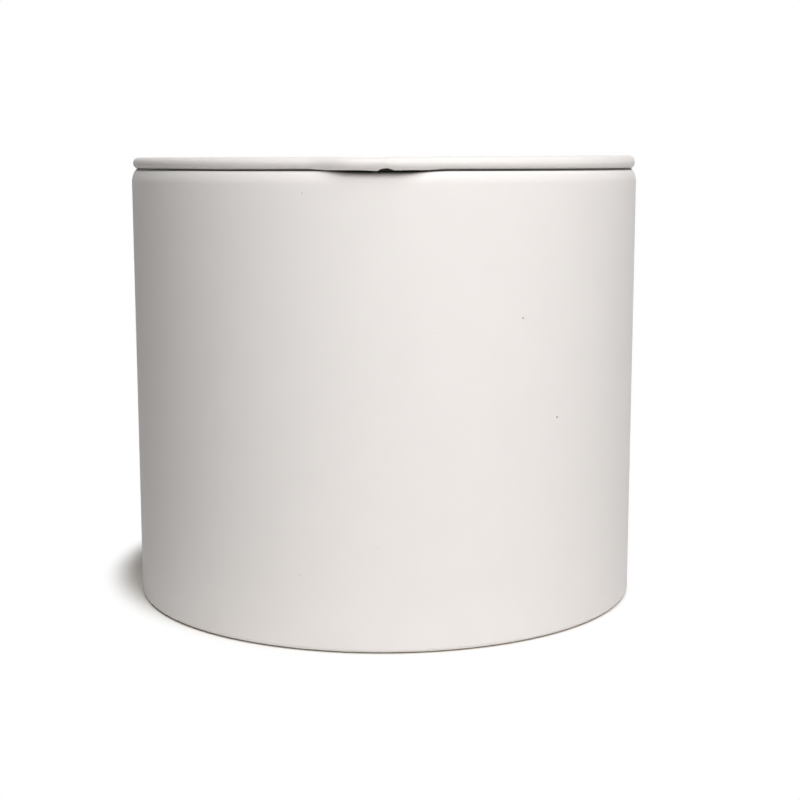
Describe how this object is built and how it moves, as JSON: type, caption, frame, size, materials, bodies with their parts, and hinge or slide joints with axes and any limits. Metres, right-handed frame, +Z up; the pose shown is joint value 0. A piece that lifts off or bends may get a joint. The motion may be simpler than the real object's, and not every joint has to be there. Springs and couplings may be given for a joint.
{
  "type": "round box with lift-off lid",
  "caption": "Round box of coated sheet steel with a straight drum, a flat lift-off plug lid, a rolled rim with a thumb lip, and low pads under its base.",
  "frame": {"origin": "on the table, under the middle of the box, at the undersides of the foot pads", "axes": "+Z up along the middle line of the box, -Y towards the front, where the thumb lip is"},
  "size_m": [0.13, 0.1318, 0.1132],
  "materials": {
    "white_coat": "fine matte powder coat, warm white",
    "black_coat": "thin satin black lacquer",
    "wire_steel": "bare drawn wire",
    "seal_rubber": "matte soft ring",
    "pad_rubber": "matte rubber"
  },
  "bodies": {
    "box": {"body_shell": "white_coat", "mouth_ring": "white_coat", "base_plate": "white_coat", "foot_pad_1": "pad_rubber", "foot_pad_2": "pad_rubber", "foot_pad_3": "pad_rubber", "foot_pad_4": "pad_rubber"},
    "seal": {"seal_ring": "seal_rubber"},
    "lid": {"lid_rim": "white_coat", "rim_wire": "wire_steel", "lid_panel": "white_coat", "plug_collar": "black_coat"}
  },
  "joints": [
    {"name": "lid_lift", "type": "slide", "parent": "box", "child": "seal", "axis": [0, 0, 1], "range_m": [0, 0.06]},
    {"name": "lid_turn", "type": "hinge", "parent": "seal", "child": "lid", "pos_m": [0, 0, 0.1061], "axis": [0, 0, 1], "continuous": true}
  ]
}
